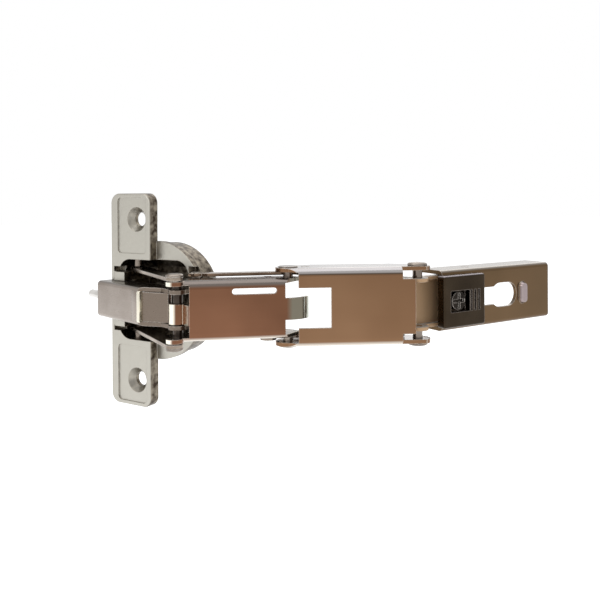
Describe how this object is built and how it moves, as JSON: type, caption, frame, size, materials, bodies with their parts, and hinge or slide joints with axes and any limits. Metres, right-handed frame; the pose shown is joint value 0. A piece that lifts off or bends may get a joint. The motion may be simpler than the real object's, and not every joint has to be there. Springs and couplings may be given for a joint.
{
  "type": "concealed cup hinge",
  "caption": "Wide-angle concealed hinge: door cup with screw ears, folding chain of pressed links crossing at the knee, and a keyhole mounting arm with an adjusting screw.",
  "frame": {"origin": "on the seat plane of the mounting arm, under the middle of its keyhole, with the hinge fully open", "axes": "+Z along every pivot of the links, +X along the arm into the cabinet, +Y from the arm into the mounting plate and the cabinet side"},
  "size_m": [0.1278, 0.0792, 0.0636],
  "materials": {
    "nickel_steel": "polished nickel plate on pressed steel",
    "satin_casting": "satin nickel on a zinc casting",
    "bright_rivet": "bright nickel on riveted pins",
    "dark_block": "dark nickel on a machined block",
    "dark_screw": "dark plated screw",
    "spring_wire": "spring steel wire"
  },
  "bodies": {
    "arm": {"mounting_arm": "nickel_steel", "inner_arm": "nickel_steel", "saddle_block": "dark_block", "adjusting_pivot_pin": "bright_rivet", "arm_rivets": "bright_rivet", "inner_link_arm_rivet": "bright_rivet"},
    "overlay_screw": {"side_adjusting_screw": "dark_screw"},
    "mid_link": {"mid_link": "nickel_steel", "knee_rivets": "bright_rivet", "knee_link_mid_rivet": "bright_rivet"},
    "inner_link": {"inner_link": "nickel_steel"},
    "front_link": {"front_link": "nickel_steel", "front_pin": "bright_rivet", "inner_cup_rivets": "bright_rivet", "inner_link_knee_rivet": "bright_rivet"},
    "knee_link": {"knee_link": "nickel_steel"},
    "outer_cup_link": {"outer_cup_link": "nickel_steel", "knee_link_rivet": "bright_rivet", "closing_spring": "spring_wire"},
    "guide_rod": {"guide_rod": "bright_rivet"},
    "inner_cup_links": {"inner_cup_link_upper": "nickel_steel", "inner_cup_link_lower": "nickel_steel"},
    "cup": {"cup_housing": "satin_casting", "outer_link_pins": "bright_rivet", "inner_link_stubs": "bright_rivet"}
  },
  "joints": [
    {"name": "arm_pivot", "type": "hinge", "parent": "arm", "child": "mid_link", "pos_m": [-0.0345, -0.008, 0], "axis": [0, 0, 1], "range_deg": [0, 138]},
    {"name": "inner_link_pivot", "type": "hinge", "parent": "arm", "child": "inner_link", "pos_m": [-0.03843, -0.00346, 0], "axis": [0, 0, 1], "range_deg": [0, 138]},
    {"name": "knee_pivot", "type": "hinge", "parent": "mid_link", "child": "front_link", "pos_m": [-0.06696, 0.00933, 0], "axis": [0, 0, 1], "range_deg": [-165, 0]},
    {"name": "knee_link_pivot", "type": "hinge", "parent": "mid_link", "child": "knee_link", "pos_m": [-0.06214, 0.008, 0], "axis": [0, 0, 1], "range_deg": [-165, 0]},
    {"name": "front_pivot", "type": "hinge", "parent": "front_link", "child": "outer_cup_link", "pos_m": [-0.09495, 0.02121, 0], "axis": [0, 0, 1], "range_deg": [0, 91.74]},
    {"name": "inner_cup_link_pivot", "type": "hinge", "parent": "front_link", "child": "inner_cup_links", "pos_m": [-0.09766, 0.01701, 0], "axis": [0, 0, 1], "range_deg": [0, 91.74]},
    {"name": "cup_pivot", "type": "hinge", "parent": "outer_cup_link", "child": "cup", "pos_m": [-0.10082, 0.05069, 0], "axis": [0, 0, 1], "range_deg": [0, 88.76]},
    {"name": "overlay_screw_turn", "type": "hinge", "parent": "arm", "child": "overlay_screw", "pos_m": [-0.0213, -0.0091, 0], "axis": [0, -1, 0], "continuous": true},
    {"name": "rod_slide", "type": "slide", "parent": "outer_cup_link", "child": "guide_rod", "axis": [-0.1953, 0.9807, 0], "range_m": [-0.008, 0]}
  ],
  "couplings": [
    {"joint": "inner_link_pivot", "follows": "arm_pivot", "ratio": 1},
    {"joint": "knee_pivot", "follows": "arm_pivot", "ratio": -1.1957},
    {"joint": "knee_link_pivot", "follows": "arm_pivot", "ratio": -1.1957},
    {"joint": "front_pivot", "follows": "arm_pivot", "ratio": 0.66477},
    {"joint": "inner_cup_link_pivot", "follows": "arm_pivot", "ratio": 0.66477},
    {"joint": "cup_pivot", "follows": "arm_pivot", "ratio": 0.6432},
    {"joint": "rod_slide", "follows": "arm_pivot", "m_per_rad": -0.0033215}
  ]
}
